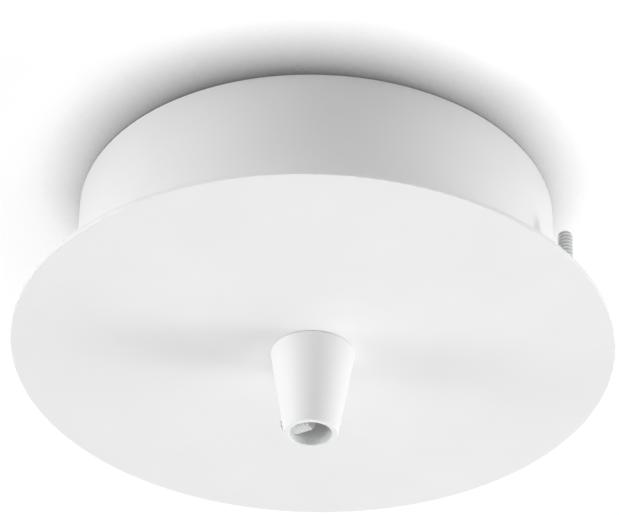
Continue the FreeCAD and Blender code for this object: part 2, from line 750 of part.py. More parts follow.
def draw_arch(sketch, middle, height, radius):
    """A round-topped outline that stands on the sketch's X axis."""
    centre = FreeCAD.Vector(middle.value, height.value, 0)
    circle = Part.Circle(centre, UP, radius.value)
    arc = sketch.addGeometry(Part.ArcOfCircle(circle, 0, math.pi), False)
    pin_point(sketch, arc, CENTRE, middle, height)
    left, right = middle.value - radius.value, middle.value + radius.value
    corners = [(left, height.value), (left, 0), (right, 0), (right, height.value)]
    points = [FreeCAD.Vector(x, y, 0) for x, y in corners]
    sides = [
        sketch.addGeometry(Part.LineSegment(a, b), False) for a, b in zip(points, points[1:])
    ]
    left_side, bottom, right_side = sides
    for kind, one, one_end, other, other_end in (
        ("Tangent", arc, END, left_side, START),
        ("Coincident", left_side, END, bottom, START),
        ("Coincident", bottom, END, right_side, START),
        ("Tangent", right_side, END, arc, START),
    ):
        sketch.addConstraint(Sketcher.Constraint(kind, one, one_end, other, other_end))
    sketch.addConstraint(Sketcher.Constraint("Vertical", left_side))
    sketch.addConstraint(Sketcher.Constraint("Vertical", right_side))
    for line, end in ((bottom, START), (bottom, END)):
        sketch.addConstraint(Sketcher.Constraint("PointOnObject", line, end, H_AXIS))
    index = sketch.addConstraint(Sketcher.Constraint("Radius", arc, radius.value))
    sketch.setExpression(f"Constraints[{index}]", radius.text)


def strip_corner():
    """Where the strip's own corner lies under the drum's back."""
    return {
        "x": -(mm.pole_pitch * len(POLES)) / 2,
        "y": mm.strip_offset + strip_width / 2,
        "z": -mm.drum_wall,
    }


def pole_x(index):
    return mm.pole_pitch * (index - (len(POLES) - 1) / 2)


def side_y(index):
    """Row of screws nearer the axis for the supply, the far one for the lamp."""
    return mm.strip_offset + mm.tower_spacing * (index - 0.5)


def make_barrel(name, x):
    """A brass clamp barrel along Y with a wire bore and two tapped holes from below."""
    tube = doc.addObject("Part::Cylinder", name + "_tube")
    bind(tube, Radius=mm.barrel_radius, Height=barrel_length)
    bore = doc.addObject("Part::Cylinder", name + "_bore")
    bind(bore, Radius=mm.barrel_bore, Height=barrel_length)
    drilled = doc.addObject("Part::Cut", name + "_drilled")
    drilled.Base = tube
    drilled.Tool = bore
    blank = drilled
    for index, side in enumerate(SIDES):
        hole = doc.addObject("Part::Cylinder", f"{name}_{side}_hole")
        bind(hole, Radius=mm.screw_radius + mm.thread_gap, Height=mm.barrel_radius * THROUGH)
        along = barrel_length / 2 + mm.tower_spacing * (index - 0.5)
        hole.Placement = FreeCAD.Placement(
            UP * along.value, FreeCAD.Rotation(X_WAY, -QUARTER_TURN)
        )
        hole.setExpression("Placement.Base.z", along.text)
        tapped = doc.addObject("Part::Cut", f"{name}_{side}_tapped")
        tapped.Base = blank
        tapped.Tool = hole
        blank = tapped
    blank.Label = name
    doc.recompute()
    put(
        blank,
        x=x,
        y=mm.strip_offset - barrel_length / 2,
        z=-(mm.drum_wall + mm.barrel_height),
        tip_over=-QUARTER_TURN,
        about=X_WAY,
    )
    return blank


def make_terminals():
    """The barrels and their screws, drawn back so that a wire can enter."""
    pieces = []
    for index, pole in enumerate(POLES):
        pieces.append(make_barrel("terminal_barrel_" + pole, pole_x(index)))
        for side_index, side in enumerate(SIDES):
            screw = slotted_screw(
                f"terminal_screw_{pole}_{side}",
                mm.screw_radius,
                mm.screw_length,
                mm.screw_head_radius,
                mm.screw_head_height,
                mm.screw_slot_width,
                mm.screw_slot_depth,
            )
            put(
                screw,
                x=pole_x(index),
                y=side_y(side_index),
                z=-(mm.drum_wall + mm.barrel_height + mm.barrel_bore),
                tip_over=HALF_TURN,
                about=X_WAY,
            )
            pieces.append(screw)
    return pieces


def make_mount_screws():
    """Two screws through the strip's web into the collars, as one group."""
    screws = []
    for index in range(len(POLES) - 1):
        screw = slotted_screw(
            f"terminal_mount_screw_{index + 1}",
            mm.mount_radius,
            mm.web_thick + mm.drum_wall - mm.mount_end_gap,
            mm.mount_head_radius,
            mm.mount_head_height,
            mm.screw_slot_width,
            mm.screw_slot_depth,
        )
        put(
            screw,
            x=pole_x(index) + mm.pole_pitch / 2,
            y=mm.strip_offset,
            z=-mm.mount_end_gap,
            tip_over=HALF_TURN,
            about=X_WAY,
        )
        screws.append(screw)
    return group("terminal_mount_screws", screws)


def group(name, pieces):
    """Several separate solids under one name."""
    bundle = doc.addObject("Part::Compound", name)
    bundle.Links = pieces
    bundle.Label = name
    doc.recompute()
    return bundle


def make_earth():
    """The earth stud on the drum's back, with its toothed washer and nut."""
    stud = weld_stud(
        "earth_stud",
        mm.earth_radius,
        mm.earth_length,
        mm.earth_foot_radius,
        mm.earth_foot_height,
        mm.stud_chamfer,
    )
    washer = toothed_washer(
        "earth_washer",
        mm.earth_washer_radius,
        mm.earth_radius + mm.washer_gap,
        mm.earth_washer_thick,
        mm.earth_tooth_depth,
        mm.earth_tooth_gap,
        EARTH_TEETH,
    )
    bore = mm.earth_radius + mm.thread_gap
    nut = hex_nut("earth_nut", mm.earth_nut_flats, mm.earth_nut_height, bore)
    seat = -(mm.drum_wall + mm.earth_foot_height)
    heights = (-mm.drum_wall, seat, seat - mm.earth_washer_thick)
    for piece, height in zip((stud, washer, nut), heights):
        put(
            piece,
            y=-mm.earth_offset,
            z=height,
            tip_over=HALF_TURN,
            about=X_WAY,
        )
    return [stud, washer, nut]


def main():
    nodes = [make_drum(), make_cover()]
    right, right_washer = make_cover_fixing("right", mm.stud_azimuth.value)
    left, left_washer = make_cover_fixing("left", mm.stud_azimuth.value + HALF_TURN)
    nodes += right + left + [group("stud_washers", [right_washer, left_washer])]
    nodes += [make_grip(), make_clamp_screw()]
    nodes += make_nipple()
    nodes += [make_grommet(), make_housing()]
    nodes += make_terminals()
    nodes.append(make_mount_screws())
    nodes += make_earth()
    doc.recompute()

    for thing in doc.Objects:
        if {"Invalid", "Error"} & set(thing.State):
            raise RuntimeError(f"{thing.Label} didn't build: {thing.State}")
    os.makedirs("parts", exist_ok=True)
    for node in nodes:
        shape = node.Shape
        if shape.isNull() or not shape.isValid():
            raise RuntimeError(f"{node.Label} has no valid shape")
        shape.exportStep(f"parts/{node.Label}.step")
        print(f"{node.Label}: {len(shape.Solids)} solid(s), {shape.Volume:.1f} mm3")


main()
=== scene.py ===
import json
import math

import bmesh
import bpy
from mathutils import Matrix, Vector


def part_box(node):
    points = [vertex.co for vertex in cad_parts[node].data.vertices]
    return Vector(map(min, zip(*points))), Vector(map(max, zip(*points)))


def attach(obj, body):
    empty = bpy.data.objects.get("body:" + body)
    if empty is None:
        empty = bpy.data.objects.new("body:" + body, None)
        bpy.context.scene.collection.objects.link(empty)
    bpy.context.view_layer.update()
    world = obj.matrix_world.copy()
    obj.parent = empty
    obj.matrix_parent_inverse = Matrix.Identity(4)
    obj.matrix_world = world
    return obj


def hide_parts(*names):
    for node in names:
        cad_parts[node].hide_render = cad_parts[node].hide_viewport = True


# The looks of the electrical ceiling rose. Metres, in the frame of the CAD model: the ceiling is
# z = 0, the rose hangs below it, and the camera stands on the -Y side, below the rose.

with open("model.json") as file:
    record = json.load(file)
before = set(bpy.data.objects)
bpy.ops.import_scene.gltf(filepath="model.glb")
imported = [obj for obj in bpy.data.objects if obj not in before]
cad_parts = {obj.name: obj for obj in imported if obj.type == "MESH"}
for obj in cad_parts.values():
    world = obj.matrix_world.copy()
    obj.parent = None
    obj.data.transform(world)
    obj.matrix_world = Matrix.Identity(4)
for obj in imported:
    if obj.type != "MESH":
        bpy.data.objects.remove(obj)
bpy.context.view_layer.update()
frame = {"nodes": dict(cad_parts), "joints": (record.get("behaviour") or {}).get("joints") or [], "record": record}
nodes = frame["nodes"]
joints = {joint["name"]: joint for joint in frame["joints"]}
MM = 0.001

# Sizes that the frame's boxes don't give.
STUD_RADIUS = 1.5 * MM
STUD_FOOT_RADIUS = 2.25 * MM
STUD_PITCH = 0.8 * MM
EARTH_RADIUS = 2 * MM
EARTH_FOOT_RADIUS = 2.75 * MM
EARTH_PITCH = 0.7 * MM
STUD_CHAMFER = 0.5 * MM
WELD_FOOT_HEIGHT = 0.7 * MM
CLAMP_RADIUS = 1.95 * MM
CLAMP_LENGTH = 6 * MM
CLAMP_PITCH = 0.7 * MM
CLAMP_TIP_EDGE = 0.15 * MM
CLAMP_SLOT_WIDTH = 0.62 * MM
CLAMP_SLOT_DEPTH = 1.4 * MM
NIPPLE_RADIUS = 5 * MM
NIPPLE_BORE = 4 * MM
NIPPLE_PITCH = 1 * MM
NIPPLE_CHAMFER = 0.4 * MM
GRIP_BORE_RADIUS = 4.3 * MM
DRUM_RADIUS = 48 * MM
DRUM_BEND = 2 * MM
DRUM_CRISP_BEND = 0.4 * MM
GRIP_BASE_RADIUS = 8.35 * MM
GRIP_TIP_RADIUS = 5.3 * MM
GRIP_TIP_ROUND = 0.6 * MM
GRIP_CRISP_ROUND = 0.15 * MM

# A 60 degree thread, in shares of its pitch: depth, flat crest and flat root.
THREAD_DEPTH = 0.6134
THREAD_CREST = 1 / 8
THREAD_ROOT = 1 / 4

# How fine the meshes are, and how near two points count as one.
ROWS_PER_TURN = 8
ROUND_STEPS = 64
CEILING_STEPS = 256
SMOOTH_BELOW = math.radians(35)
MERGE_BELOW = 0.001 * MM
BEND_SLACK = 0.03 * MM


def spread(name):
    """Lowest corner, highest corner and middle of a CAD node."""
    low, high = (Vector(corner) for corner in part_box(name))
    return low, high, (low + high) / 2


# Materials

# Octaves of a noise, and the middle of its range, where nearly all of it lies.
SOFT, FINE, RICH = 2, 3, 4
NOISE_LOW, NOISE_HIGH = 0.3, 0.7


def grey(tone):
    """A neutral colour with its alpha."""
    return (tone, tone, tone, 1)


class Nodes:
    """Short names for building a material's or a world's nodes in one place."""

    def __init__(self, owner):
        if isinstance(owner, str):
            owner = bpy.data.materials.new(owner)
        owner.use_nodes = True
        self.owner, self.tree = owner, owner.node_tree
        self.tree.nodes.clear()
        kind = "World" if isinstance(owner, bpy.types.World) else "Material"
        self.output = self.add("ShaderNodeOutput" + kind)
        self.place = self.add("ShaderNodeTexCoord").outputs["Object"]

    def add(self, kind, **settings):
        """A new node with some of its settings."""
        node = self.tree.nodes.new(kind)
        for key, value in settings.items():
            setattr(node, key, value)
        return node

    def link(self, source, target):
        """Join an output to an input."""
        self.tree.links.new(source, target)

    def noise(self, size, detail, stretch=(1, 1, 1)):
        """Smooth noise whose features are about size metres wide."""
        mapping = self.add("ShaderNodeMapping")
        mapping.inputs["Scale"].default_value = stretch
        self.link(self.place, mapping.inputs["Vector"])
        node = self.add("ShaderNodeTexNoise")
        node.inputs["Scale"].default_value = 1 / size
        node.inputs["Detail"].default_value = detail
        self.link(mapping.outputs["Vector"], node.inputs["Vector"])
        return node.outputs["Fac"]

    def between(self, source, low, high, start=NOISE_LOW, end=NOISE_HIGH):
        """A number that runs from low to high as the source runs from start to end."""
        node = self.add("ShaderNodeMapRange")
        for key, value in (
            ("From Min", start), ("From Max", end), ("To Min", low), ("To Max", high)
        ):
            node.inputs[key].default_value = value
        self.link(source, node.inputs["Value"])
        return node.outputs["Result"]

    def blend(self, factor, first, second):
        """A colour between two, each a colour or another node's output."""
        node = self.add("ShaderNodeMix", data_type="RGBA")
        self.link(factor, node.inputs[0])
        for socket, colour in ((node.inputs[6], first), (node.inputs[7], second)):
            if isinstance(colour, tuple):
                socket.default_value = (*colour, 1)
            else:
                self.link(colour, socket)
        return node.outputs[2]

    def mottle(self, colours, patch, detail):
        """A colour that drifts between two, in patches about patch metres wide."""
        return self.blend(self.between(self.noise(patch, detail), 0, 1), *colours)

    def math(self, operation, first, second):
        """The result of an operation on two, each a number or another node's output."""
        node = self.add("ShaderNodeMath", operation=operation)
        for socket, value in zip(node.inputs, (first, second)):
            if isinstance(value, (int, float)):
                socket.default_value = value
            else:
                self.link(value, socket)
        return node.outputs[0]

    def from_axis(self, x=0.0, y=0.0):
        """Distance from an upright axis."""
        split = self.add("ShaderNodeSeparateXYZ")
        self.link(self.place, split.inputs[0])
        squares = []
        for name, middle in (("X", x), ("Y", y)):
            off = self.math("SUBTRACT", split.outputs[name], middle)
            squares.append(self.math("MULTIPLY", off, off))
        return self.math("POWER", self.math("ADD", *squares), 0.5)

    def bump(self, height, depth, strength, over=None):
        """A normal that follows a height, over another bump if there is one."""
        node = self.add("ShaderNodeBump")
        node.inputs["Strength"].default_value = strength
        node.inputs["Distance"].default_value = depth
        self.link(height, node.inputs["Height"])
        if over is not None:
            self.link(over, node.inputs["Normal"])
        return node.outputs["Normal"]

    def shader(self, kind, fixed=None, **sources):
        """A shader with fixed values on its own sockets and sources on others."""
        node = self.add("ShaderNode" + kind)
        for key, value in (fixed or {}).items():
            node.inputs[key].default_value = value
        for key, source in sources.items():
            self.link(source, node.inputs[key.replace("_", " ")])
        return node.outputs[0]

    def mix(self, factor, first, second):
        """The first shader where the factor is 0, the second where it is 1."""
        node = self.add("ShaderNodeMixShader")
        for socket, source in zip(node.inputs, (factor, first, second)):
            self.link(source, socket)
        return node.outputs[0]

    def seen(self):
        """1 for camera, glossy and transmission rays."""
        path = self.add("ShaderNodeLightPath").outputs
        total = path["Is Camera Ray"]
        for name in ("Is Glossy Ray", "Is Transmission Ray"):
            total = self.math("MAXIMUM", total, path[name])
        return total

    def close(self, shader):
        """Join the last shader to the output, and give back the material or world."""
        self.link(shader, self.output.inputs["Surface"])
        return self.owner

    def surface(self, colour, roughness, normal, fixed=None):
        """The principled shader over the whole surface."""
        sources = {"Base_Color": colour, "Roughness": roughness, "Normal": normal}
        return self.close(self.shader("BsdfPrincipled", fixed, **sources))


# What the fine grain of most materials has in common.
GRAIN_STRENGTH = 0.5
METAL_GRAIN_DEPTH = 0.004 * MM
METAL = {"Metallic": 1.0}

PAINT_WHITES = (0.845, 0.848, 0.846), (0.865, 0.867, 0.865)
PAINT_PATCH = 14 * MM
PAINT_ROUGHNESS = (0.28, 0.34)
PAINT_GLOSS_PATCH = 5 * MM
PEEL_SIZE = 1.1 * MM
PEEL_DEPTH = 0.012 * MM
PEEL_STRENGTH = 0.6
SPECK_SIZE = 0.25 * MM
SPECK_DEPTH = 0.003 * MM


def orange_peel(graph):
    """The shallow waves of a powder coat."""
    return graph.bump(graph.noise(PEEL_SIZE, SOFT), PEEL_DEPTH, PEEL_STRENGTH)


def powder_coat(name):
    """White powder coat: faint orange peel, slightly uneven gloss."""
    graph = Nodes(name)
    white = graph.mottle(PAINT_WHITES, PAINT_PATCH, SOFT)
    gloss = graph.between(graph.noise(PAINT_GLOSS_PATCH, FINE), *PAINT_ROUGHNESS)
    specks = graph.noise(SPECK_SIZE, FINE)
    normal = graph.bump(specks, SPECK_DEPTH, GRAIN_STRENGTH, orange_peel(graph))
    return graph.surface(white, gloss, normal)


GRIP_WHITES = (0.855, 0.858, 0.856), (0.875, 0.878, 0.876)
GRIP_ROUGHNESS = (0.42, 0.5)
BORE_GREYS = (0.82, 0.825, 0.83), (0.965, 0.97, 0.975)
BORE_EDGE = 0.05 * MM
BORE_GRAIN = 0.3 * MM
BORE_GRAIN_RANGE = (0.42, 0.6)
BORE_GRAIN_DEPTH = 0.03 * MM
BORE_GRAIN_STRENGTH = 0.8


def grip_coat(name):
    """The same coat outside, a little duller, and a thin, grainy coat inside the grip's bore."""
    graph = Nodes(name)
    inside = graph.between(graph.from_axis(), 1, 0, GRIP_BORE_RADIUS - BORE_EDGE, GRIP_BORE_RADIUS)
    white = graph.mottle(GRIP_WHITES, PAINT_PATCH, SOFT)
    grain = graph.noise(BORE_GRAIN, FINE)
    bore_grey = graph.blend(graph.between(grain, 0, 1, *BORE_GRAIN_RANGE), *BORE_GREYS)
    tone = graph.blend(inside, white, bore_grey)
    gloss = graph.between(graph.noise(PAINT_GLOSS_PATCH, FINE), *GRIP_ROUGHNESS)
    rough = graph.math("MULTIPLY", grain, inside)
    normal = graph.bump(rough, BORE_GRAIN_DEPTH, BORE_GRAIN_STRENGTH, orange_peel(graph))
    return graph.surface(tone, gloss, normal)


ZINC_COLOURS = (0.78, 0.79, 0.785), (0.86, 0.865, 0.86)
ZINC_PATCH = 2.5 * MM
ZINC_GRAIN = 0.12 * MM
ZINC_ROUGHNESS = (0.4, 0.52)
ZINC_ROOT_SHADE = (0.56, 0.57, 0.57)
ZINC_ROOT_DULLER = 0.15


def bright_zinc(name, thread=None):
    """Bright zinc plate with a fine grain and cloudy passivation, rougher in a thread's roots, with painted shade
    darkening them.

    A thread is its axis's x and y, its radius and its pitch.
    """
    graph = Nodes(name)
    tone = graph.mottle(ZINC_COLOURS, ZINC_PATCH, FINE)
    grain = graph.noise(ZINC_GRAIN, FINE)
    gloss = graph.between(grain, *ZINC_ROUGHNESS)
    if thread:
        x, y, radius, pitch = thread
        root = radius - THREAD_DEPTH * pitch
        in_root = graph.between(graph.from_axis(x, y), 1, 0, root, radius)
        # Painted shade: the colour darkens from the crest down into the thread's root.
        tone = graph.blend(in_root, tone, ZINC_ROOT_SHADE)
        gloss = graph.math("ADD", gloss, graph.math("MULTIPLY", in_root, ZINC_ROOT_DULLER))
    return graph.surface(tone, gloss, graph.bump(grain, METAL_GRAIN_DEPTH, GRAIN_STRENGTH), METAL)


BRASS_COLOURS = (0.72, 0.52, 0.23), (0.84, 0.65, 0.34)
BRASS_PATCH = 3 * MM
BRASS_GRAIN = 0.15 * MM
BRASS_STRETCH = (1, 0.1, 1)
BRASS_ROUGHNESS = (0.2, 0.36)


def turned_brass(name):
    """Brass with fine marks along the barrels."""
    graph = Nodes(name)
    tone = graph.mottle(BRASS_COLOURS, BRASS_PATCH, FINE)
    grain = graph.noise(BRASS_GRAIN, FINE, BRASS_STRETCH)
    gloss = graph.between(grain, *BRASS_ROUGHNESS)
    return graph.surface(tone, gloss, graph.bump(grain, METAL_GRAIN_DEPTH, GRAIN_STRENGTH), METAL)


NYLON_COLOURS = (0.86, 0.88, 0.865), (0.92, 0.93, 0.915)
NYLON_PATCH = 1.5 * MM
NYLON_GLOSS_PATCH = 0.5 * MM
NYLON_ROUGHNESS = (0.28, 0.4)
NYLON_GRAIN = 0.4 * MM
NYLON_GRAIN_DEPTH = 0.005 * MM
NYLON_MILK = {
    "Subsurface Weight": 0.5,
    "Subsurface Radius": (1.2 * MM, 1.2 * MM, 1.1 * MM),
    "Subsurface Scale": 1.0,
    "Transmission Weight": 0.12,
}


def nylon(name):
    """Milky nylon that lets some light through."""
    graph = Nodes(name)
    tone = graph.mottle(NYLON_COLOURS, NYLON_PATCH, SOFT)
    gloss = graph.between(graph.noise(NYLON_GLOSS_PATCH, SOFT), *NYLON_ROUGHNESS)
    normal = graph.bump(graph.noise(NYLON_GRAIN, SOFT), NYLON_GRAIN_DEPTH, GRAIN_STRENGTH)
    return graph.surface(tone, gloss, normal, NYLON_MILK)


PLASTIC_COLOURS = (0.77, 0.77, 0.745), (0.83, 0.83, 0.805)
PLASTIC_PATCH = 8 * MM
PLASTIC_GRAIN = 0.18 * MM
PLASTIC_GRAIN_DEPTH = 0.008 * MM
PLASTIC_ROUGHNESS = (0.34, 0.5)


def moulded(name):
    """Off-white moulded polyamide with a fine spark-eroded grain."""
    graph = Nodes(name)
    tone = graph.mottle(PLASTIC_COLOURS, PLASTIC_PATCH, SOFT)
    grain = graph.noise(PLASTIC_GRAIN, FINE)
    gloss = graph.between(grain, *PLASTIC_ROUGHNESS)
    return graph.surface(tone, gloss, graph.bump(grain, PLASTIC_GRAIN_DEPTH, GRAIN_STRENGTH))


RUBBER_COLOURS = (0.13, 0.133, 0.137), (0.19, 0.193, 0.197)
RUBBER_PATCH = 4 * MM
RUBBER_GRAIN = 0.3 * MM
RUBBER_GRAIN_DEPTH = 0.015 * MM
RUBBER_GRAIN_STRENGTH = 0.6
RUBBER_ROUGHNESS = (0.6, 0.8)


def rubber(name):
    """Matt grey rubber."""
    graph = Nodes(name)
    tone = graph.mottle(RUBBER_COLOURS, RUBBER_PATCH, FINE)
    grain = graph.noise(RUBBER_GRAIN, RICH)
    gloss = graph.between(grain, *RUBBER_ROUGHNESS)
    return graph.surface(tone, gloss, graph.bump(grain, RUBBER_GRAIN_DEPTH, RUBBER_GRAIN_STRENGTH))


# The material of each of the record's slots.
materials = {
    "white_paint": powder_coat("white_powder_coat"),
    "zinc_plate": bright_zinc("bright_zinc"),
    "brass": turned_brass("turned_brass"),
    "natural_nylon": nylon("milky_nylon"),
    "strip_plastic": moulded("moulded_polyamide"),
    "grey_rubber": rubber("grey_rubber_compound"),
}


def dress(thing, material):
    """Give every slot of an object one material."""
    if not thing.material_slots:
        thing.data.materials.append(material)
    for slot in thing.material_slots:
        slot.material = material


def dress_nodes():
    """Give every CAD node the material of its slot."""
    slots = {part["node"]: part["material_slot"] for part in frame["record"]["subparts"]}
    for name, node in nodes.items():
        dress(node, materials[slots[name]])


# Pieces

def new_object(name, data):
    """A new object in the scene's collection."""
    thing = bpy.data.objects.new(name, data)
    bpy.context.scene.collection.objects.link(thing)
    return thing


def ring(shape, radii, height):
    """A ring of points round Z, evenly spaced, one for each radius."""
    turns = [2 * math.pi * step / len(radii) for step in range(len(radii))]
    return [
        shape.verts.new((radius * math.cos(turn), radius * math.sin(turn), height))
        for radius, turn in zip(radii, turns)
    ]


def band(shape, first, second):
    """Faces between two rings."""
    for step in range(len(first)):
        beside = (step + 1) % len(first)
        shape.faces.new((first[step], first[beside], second[beside], second[step]))


def finished_mesh(name, shape):
    """The mesh of a finished shape, smooth but for its sharp edges."""
    bmesh.ops.remove_doubles(shape, verts=shape.verts, dist=MERGE_BELOW)
    bmesh.ops.dissolve_degenerate(shape, edges=shape.edges, dist=MERGE_BELOW)
    mesh = bpy.data.meshes.new(name)
    shape.to_mesh(mesh)
    shape.free()
    mesh.shade_smooth()
    mesh.set_sharp_from_angle(angle=SMOOTH_BELOW)
    return mesh


def groove(share):
    """How deep a thread is cut at a share of its pitch: 0 on the crest, 1 in the root."""
    off_middle = abs(share % 1 - 0.5)
    crest, root = (1 - THREAD_CREST) / 2, THREAD_ROOT / 2
    return min(max((crest - off_middle) / (crest - root), 0), 1)


def threaded_mesh(name, radius, length, pitch, chamfers, bore=0.0, foot=None):
    """A rod or tube along Z from height 0, with a helical thread and chamfered ends.

    A foot is the radius and height of a plain collar at the start.
    """
    shape = bmesh.new()
    depth = THREAD_DEPTH * pitch

    def plain_ring(ring_radius, height):
        return ring(shape, [ring_radius] * ROUND_STEPS, height)

    def threaded_ring(height):
        chamfered = radius - max(chamfers[0] - height, chamfers[1] - (length - height), 0)
        return ring(shape, [
            min(radius - depth * groove(height / pitch - step / ROUND_STEPS), chamfered)
            for step in range(ROUND_STEPS)
        ], height)

    rows = round(length / pitch * ROWS_PER_TURN)
    heights = [length * row / rows for row in range(rows + 1)]
    rings = []
    if foot:
        foot_radius, foot_height = foot
        rings = [plain_ring(foot_radius, 0), plain_ring(foot_radius, foot_height)]
        spare = length / rows / 2
        heights = [foot_height] + [height for height in heights if height > foot_height + spare]
    rings += [threaded_ring(height) for height in heights]
    if bore:
        rings += [plain_ring(bore, length), plain_ring(bore, 0)]
        rings.append(rings[0])
    else:
        shape.faces.new(rings[0])
        shape.faces.new(rings[-1])
    for lower, upper in zip(rings, rings[1:]):
        band(shape, lower, upper)
    bmesh.ops.recalc_face_normals(shape, faces=shape.faces)
    return finished_mesh(name, shape)


def cut_away(thing, tool):
    """Cut one object out of another with an exact boolean, and drop the tool."""
    change = thing.modifiers.new("cut", "BOOLEAN")
    change.operation = "DIFFERENCE"
    change.solver = "EXACT"
    change.object = tool
    bpy.context.view_layer.update()
    evaluated = thing.evaluated_get(bpy.context.evaluated_depsgraph_get())
    shape = bmesh.new()
    shape.from_mesh(evaluated.to_mesh())
    bmesh.ops.triangulate(shape, faces=shape.faces)
    thing.modifiers.clear()
    thing.data = finished_mesh(thing.name, shape)
    bpy.data.objects.remove(tool)


def place(thing, where, turn=0.0, tip_over=0.0):
    """Tip a piece's mesh over about Y, turn it about Z, then shift it."""
    tipped = Matrix.Rotation(tip_over, 4, "Y")
    turned = Matrix.Rotation(turn, 4, "Z")
    thing.data.transform(Matrix.Translation(where) @ turned @ tipped)


def stand_for(thing, node, body, slot, material=None):
    """Let a piece stand for a CAD node."""
    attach(thing, body)
    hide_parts(node)
    dress(thing, material or materials[slot])


def crisp_copy(node, name, corner, middle, bend, crisp):
    """A copy of a CAD node's mesh with one rounded ring edge drawn in to a smaller radius.

    The corner and the rounding's middle are (radius, height) in the section through the axis.
    """
    source = nodes[node].data
    normals = [tuple(loop.vector) for loop in source.corner_normals]
    mesh = source.copy()
    mesh.name = name
    share = crisp / bend
    for vertex in mesh.vertices:
        x, y, z = vertex.co
        radius = math.hypot(x, y)
        from_middle = math.hypot(radius - middle[0], z - middle[1])
        from_corner = math.hypot(radius - corner[0], z - corner[1])
        if abs(from_middle - bend) < BEND_SLACK and from_corner < bend + BEND_SLACK:
            drawn = corner[0] + (radius - corner[0]) * share
            height = corner[1] + (z - corner[1]) * share
            vertex.co = (x * drawn / radius, y * drawn / radius, height)
    mesh.normals_split_custom_set(normals)
    return new_object(name, mesh)


def make_crisp_drum():
    """The drum with the crisp ceiling edge that the photograph shows."""
    corner = (DRUM_RADIUS, 0)
    middle = (DRUM_RADIUS - DRUM_BEND, -DRUM_BEND)
    drum = crisp_copy("canopy_drum", "crisp_drum", corner, middle, DRUM_BEND, DRUM_CRISP_BEND)
    stand_for(drum, "canopy_drum", "rose", "white_paint")


def make_crisp_grip():
    """The cord grip with a turned, barely broken edge round its mouth."""
    low, high, _ = spread("cord_grip")
    taper = math.atan((GRIP_BASE_RADIUS - GRIP_TIP_RADIUS) / (high.z - low.z))
    inward = (1 - math.sin(taper)) / math.cos(taper)
    corner = (GRIP_TIP_RADIUS, low.z)
    middle = (GRIP_TIP_RADIUS - GRIP_TIP_ROUND * inward, low.z + GRIP_TIP_ROUND)
    grip = crisp_copy(
        "cord_grip", "crisp_cord_grip", corner, middle, GRIP_TIP_ROUND, GRIP_CRISP_ROUND
    )
    stand_for(grip, "cord_grip", "rose", "white_paint", grip_coat("white_grip_coat"))


def make_weld_stud(name, node, radius, foot_radius, pitch, tip_over=0.0):
    """A threaded stud with its weld foot, standing on its low end, or hanging if tipped over."""
    low, high, middle = spread(node)
    foot = (foot_radius, WELD_FOOT_HEIGHT)
    mesh = threaded_mesh(name, radius, high.z - low.z, pitch, (0, STUD_CHAMFER), foot=foot)
    stud = new_object(name, mesh)
    start = high.z if tip_over else low.z
    place(stud, Vector((middle.x, middle.y, start)), tip_over=tip_over)
    zinc = bright_zinc(name + "_zinc", (middle.x, middle.y, radius, pitch))
    stand_for(stud, node, "rose", "zinc_plate", zinc)


def make_weld_studs():
    """The two studs on the disc's back, and the earth stud that hangs in the drum."""
    cover_sizes = (STUD_RADIUS, STUD_FOOT_RADIUS, STUD_PITCH)
    for side in ("right", "left"):
        make_weld_stud("threaded_stud_" + side, "cover_stud_" + side, *cover_sizes)
    earth_sizes = (EARTH_RADIUS, EARTH_FOOT_RADIUS, EARTH_PITCH)
    make_weld_stud("threaded_earth_stud", "earth_stud", *earth_sizes, tip_over=math.pi)


def make_nipple():
    """The threaded tube that holds the grip to the disc."""
    low, high, middle = spread("hollow_nipple")
    chamfers = (NIPPLE_CHAMFER, NIPPLE_CHAMFER)
    mesh = threaded_mesh(
        "threaded_nipple", NIPPLE_RADIUS, high.z - low.z, NIPPLE_PITCH, chamfers, NIPPLE_BORE
    )
    nipple = new_object("threaded_nipple", mesh)
    place(nipple, Vector((middle.x, middle.y, low.z)))
    zinc = bright_zinc("threaded_zinc_nipple", (middle.x, middle.y, NIPPLE_RADIUS, NIPPLE_PITCH))
    stand_for(nipple, "hollow_nipple", "rose", "zinc_plate", zinc)


def make_slot_blade():
    """A block in the shape of the driver slot, wider than the screw and higher than its end."""
    shape = bmesh.new()
    bmesh.ops.create_cube(shape, size=1.0)
    size = (CLAMP_SLOT_WIDTH, 3 * CLAMP_RADIUS, 2 * CLAMP_SLOT_DEPTH)
    bmesh.ops.scale(shape, vec=size, verts=shape.verts)
    bmesh.ops.translate(shape, vec=(0, 0, CLAMP_LENGTH), verts=shape.verts)
    mesh = bpy.data.meshes.new("driver_slot")
    shape.to_mesh(mesh)
    shape.free()
    return new_object("driver_slot", mesh)


def make_clamp_screw():
    """The nylon grub screw along its joint's axis, with its driver slot outside."""
    outward = Vector(joints["clamp_screw_travel"]["axis"])
    middle = spread("clamp_screw")[2]
    mesh = threaded_mesh(
        "grub_screw", CLAMP_RADIUS, CLAMP_LENGTH, CLAMP_PITCH, (CLAMP_TIP_EDGE, 0)
    )
    screw = new_object("grub_screw", mesh)
    cut_away(screw, make_slot_blade())
    tip = middle - outward * CLAMP_LENGTH / 2
    place(screw, tip, turn=math.atan2(outward.y, outward.x), tip_over=math.pi / 2)
    stand_for(screw, "clamp_screw", "clamp_screw", "natural_nylon")


# Camera. It looks at the middle of the cover's underside, then pans, tilts and rolls a little.
# The image's width and the focal length are in pixels, the sensor's width in millimetres.

IMAGE_WIDTH = 619
FOCAL_PIXELS = 4029.3
SENSOR_WIDTH = 36.0
CLIP_START = 0.01
CAMERA_DISTANCE = 0.8
CAMERA_BELOW = math.radians(33.88)
CAMERA_PAN = math.radians(-0.079)
CAMERA_TILT = math.radians(1.367)
CAMERA_ROLL = math.radians(1.414)


def turn_towards(first, second, angle):
    """Two unit vectors square to each other, after the first turns towards the second."""
    share, rest = math.sin(angle), math.cos(angle)
    return first * rest + second * share, second * rest - first * share


